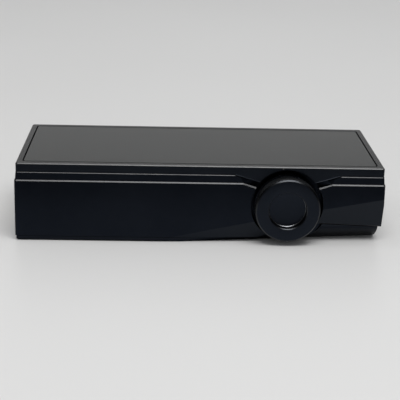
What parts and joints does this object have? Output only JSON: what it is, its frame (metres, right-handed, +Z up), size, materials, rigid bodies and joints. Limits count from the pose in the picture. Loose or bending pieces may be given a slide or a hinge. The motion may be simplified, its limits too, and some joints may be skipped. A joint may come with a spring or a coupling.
{
  "type": "pocket headphone amplifier",
  "caption": "Slim faceted metal case with a flush glass top, a knurled volume wheel in a side pocket, and audio and power sockets in its ends.",
  "frame": {"origin": "centre of the case's underside, on the surface that it rests on", "axes": "+X along the case towards the end nearer the wheel, +Z up through the glass panel; the wheel faces -Y"},
  "size_m": [0.065, 0.0296, 0.0139],
  "materials": {
    "case_metal": "dark blue-black anodised aluminium, satin",
    "frame_metal": "dark blue-black anodised aluminium, satin, with bright worn chamfers",
    "cover_metal": "dark blue-black anodised aluminium, satin",
    "wheel_metal": "turned and knurled dark anodised aluminium",
    "panel_glass": "opaque black-backed glass, smooth",
    "adhesive_tape": "black foam tape",
    "black_steel": "black oxide steel",
    "plated_steel": "nickel-plated steel",
    "plated_brass": "gold-plated brass, turned",
    "circuit_board": "dark green solder mask",
    "chip_plastic": "moulded epoxy",
    "moulded_plastic": "black moulded plastic",
    "capacitor_resin": "ochre resin"
  },
  "bodies": {
    "case": {"main_shell": "case_metal", "top_frame": "frame_metal", "glass_panel": "panel_glass", "glass_adhesive": "adhesive_tape", "bottom_cover": "cover_metal", "encoder_faceplate": "plated_steel", "encoder_body": "moulded_plastic", "encoder_nut": "plated_steel", "encoder_washer": "plated_steel", "encoder_board": "circuit_board", "encoder_header": "moulded_plastic", "jack_small_body": "moulded_plastic", "jack_small_collar": "plated_brass", "jack_large_body": "moulded_plastic", "jack_large_collar": "plated_brass", "usb_socket_shell": "plated_steel", "usb_socket_tongue": "moulded_plastic", "main_board": "circuit_board", "shield_can": "plated_steel", "converter_chip_1": "chip_plastic", "converter_chip_2": "chip_plastic", "bridge_chip": "chip_plastic", "amplifier_chip_1": "chip_plastic", "amplifier_chip_2": "chip_plastic", "oscillator_1": "plated_steel", "oscillator_2": "plated_steel", "capacitor_1": "capacitor_resin", "capacitor_2": "capacitor_resin", "capacitor_3": "capacitor_resin", "capacitor_4": "capacitor_resin", "cover_screw_1": "black_steel", "board_screw_1": "plated_steel", "cover_screw_2": "black_steel", "board_screw_2": "plated_steel", "cover_screw_3": "black_steel", "board_screw_3": "plated_steel", "cover_screw_4": "black_steel", "board_screw_4": "plated_steel"},
    "wheel": {"volume_wheel": "wheel_metal", "encoder_shaft": "plated_steel"}
  },
  "joints": [
    {"name": "wheel_turn", "type": "hinge", "parent": "case", "child": "wheel", "pos_m": [0.01528, -0.0135, 0.00663], "axis": [0, 1, 0], "continuous": true}
  ]
}
